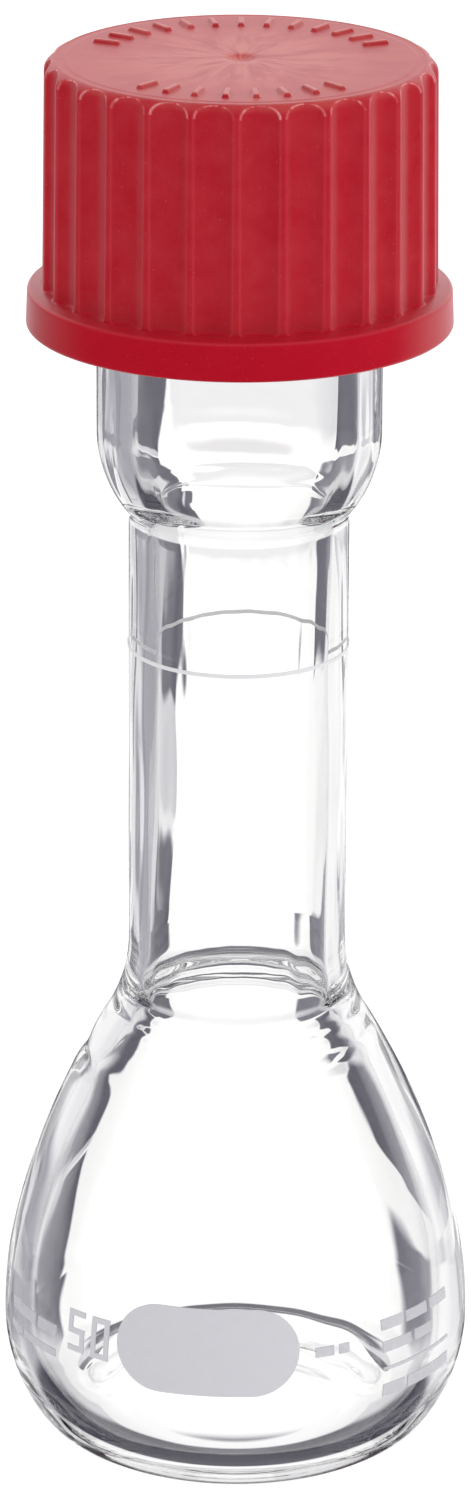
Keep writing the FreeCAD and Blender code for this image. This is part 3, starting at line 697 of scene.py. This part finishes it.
FLOOR_REACH = 6.0  # m
FLOOR_CORNERS = 96
CAMERA_PLACE = Vector((-0.23, -645.913, 300.727)) * MM
CAMERA_DOWN = 19.535  # degrees
CAMERA_ROLL = 0.256  # degrees
CAMERA_LENS = 168  # mm, on a sensor 36 mm wide
LIGHT_BOUNCES = 32  # a path crosses many walls of glass before it leaves the flask


def gradient(tree, value, stops):
    """Brightness along a value, from (place, brightness) pairs in rising order, with smooth steps between."""
    level = stops[0][1]
    for (start, _), (end, brightness) in zip(stops, stops[1:]):
        level = mix(tree, rise(tree, value, start, end), level, brightness, "FLOAT")
    return level


def view_angles(tree):
    """Where a ray goes, in degrees to the right of the camera's own view and up from it."""
    direction = node(tree, "TexCoord").outputs["Generated"]
    seen = node(
        tree, "VectorTransform",
        vector_type="VECTOR", convert_from="WORLD", convert_to="CAMERA", Vector=direction,
    )
    unit = node(tree, "VectorMath", operation="NORMALIZE", Vector=seen.outputs[0])
    parts = node(tree, "SeparateXYZ", Vector=unit.outputs[0])
    degrees = math.degrees(1)
    side = times(tree, maths(tree, "ARCTAN2", parts.outputs["X"], parts.outputs["Z"]), degrees)
    up = times(tree, maths(tree, "ARCSINE", parts.outputs["Y"]), degrees)
    return side, up


def layered_wall(tree, outwards, up, layers):
    """Brightness of one side's wall, whose layers follow one another upwards."""
    level = None
    for start, stops in layers:
        layer = gradient(tree, outwards, stops + BEYOND)
        if level is None:
            level = layer
        else:
            level = mix(tree, rise(tree, up, start - 0.15, start + 0.15), level, layer, "FLOAT")
    return level


def backdrop(tree, side, up):
    """Brightness that clear glass sees: a white panel behind it, grey walls and a dark bench front."""
    left = layered_wall(tree, times(tree, side, -1.0), up, LEFT_WALL)
    right = layered_wall(tree, side, up, RIGHT_WALL)
    wall = mix(tree, rise(tree, side, -1.0, 1.0), left, right, "FLOAT")
    wide = maths(tree, "ABSOLUTE", side)
    # the panel falls off a little towards its top
    top = times(tree, rise(tree, up, 1.3, 2.8), rise(tree, wide, 9.6, 8.6))
    # high above and well below the eye's level it reaches further round
    above = times(tree, rise(tree, up, 3.5, 7.0), rise(tree, wide, 60.0, 30.0))
    below = times(tree, rise(tree, up, -7.0, -10.0), rise(tree, wide, 34.0, 16.0))
    # the bench is dark in front of the panel's light
    bench = times(tree, rise(tree, up, -16.0, -21.0), rise(tree, wide, 90.0, 62.0))
    shares = ((top, 1.0, 0.86), (above, 0.8, 1.1), (below, 0.75, 1.0), (bench, 0.97, 0.05))
    for place, share, brightness in shares:
        wall = mix(tree, times(tree, place, share), wall, brightness, "FLOAT")
    return wall


def build_world():
    """Soft studio light, placed round the camera's own view, so the flask is lit alike from every side."""
    world = bpy.data.worlds.new("studio")
    bpy.context.scene.world = world
    world.use_nodes = True
    tree = world.node_tree
    tree.nodes.clear()
    side, up = view_angles(tree)
    wall = backdrop(tree, side, up)
    tint = node(
        tree, "CombineColor",
        Red=wall, Green=maths(tree, "POWER", wall, 1.02), Blue=maths(tree, "POWER", wall, 0.92),
    )
    round_about = gradient(tree, side, STUDIO_ROUND)
    ceiling = gradient(tree, up, STUDIO_CEILING)
    studio = mix(tree, rise(tree, up, 20.0, 34.0), round_about, ceiling, "FLOAT")
    path = node(tree, "LightPath")
    # rays that clear glass sends on count as singular; matt and satin surfaces send out the others
    colour = mix(tree, path.outputs["Is Singular Ray"], studio, tint.outputs[0])
    colour = mix(tree, path.outputs["Is Camera Ray"], colour, (1, 1, 1, 1))
    shine = node(tree, "Background", Color=colour, Strength=1.0)
    node(tree, "OutputWorld", Surface=shine.outputs[0])


def build_floor():
    """A wide pale floor that glows nearly white, so that only a faint contact shadow shows."""
    turns = [TURN * i / FLOOR_CORNERS for i in range(FLOOR_CORNERS)]
    points = [(FLOOR_REACH * math.cos(turn), FLOOR_REACH * math.sin(turn), 0) for turn in turns]
    mesh = bpy.data.meshes.new("floor")
    mesh.from_pydata(points, [], [tuple(range(FLOOR_CORNERS))])
    floor = bpy.data.objects.new("floor", mesh)
    bpy.context.scene.collection.objects.link(floor)
    material, tree = new_material("floor")
    matt = node(tree, "BsdfDiffuse", Color=(0.2, 0.2, 0.2, 1))
    glow = node(tree, "Emission", Color=(1, 1, 1, 1), Strength=0.93)
    both = tree.nodes.new("ShaderNodeAddShader")
    tree.links.new(matt.outputs[0], both.inputs[0])
    tree.links.new(glow.outputs[0], both.inputs[1])
    node(tree, "OutputMaterial", Surface=both.outputs[0])
    mesh.materials.append(material)
    # clear glass looks through it at the backdrop's panel and bench, as if it stood on a lit table
    floor.visible_transmission = False
    floor.visible_glossy = False


def build_camera():
    """The photo's viewpoint: a long lens from in front, looking down on the flask."""
    data = bpy.data.cameras.new("camera")
    data.lens = CAMERA_LENS
    data.sensor_width = 36
    data.clip_end = 10
    camera = bpy.data.objects.new("camera", data)
    tilt = Euler((math.radians(90 - CAMERA_DOWN), 0, 0)).to_matrix().to_4x4()
    roll = Matrix.Rotation(math.radians(CAMERA_ROLL), 4, "Z")
    camera.matrix_world = Matrix.Translation(CAMERA_PLACE) @ tilt @ roll
    bpy.context.scene.collection.objects.link(camera)
    bpy.context.scene.camera = camera


def set_up_view():
    """How far light is followed through the glass, and plain colours."""
    scene = bpy.context.scene
    scene.view_settings.view_transform = "Standard"
    scene.cycles.max_bounces = LIGHT_BOUNCES
    scene.cycles.transmission_bounces = LIGHT_BOUNCES
    scene.cycles.glossy_bounces = LIGHT_BOUNCES
    scene.cycles.transparent_max_bounces = 16


build_glass()
build_cap()
dress_cad_nodes()
build_floor()
build_world()
build_camera()
set_up_view()
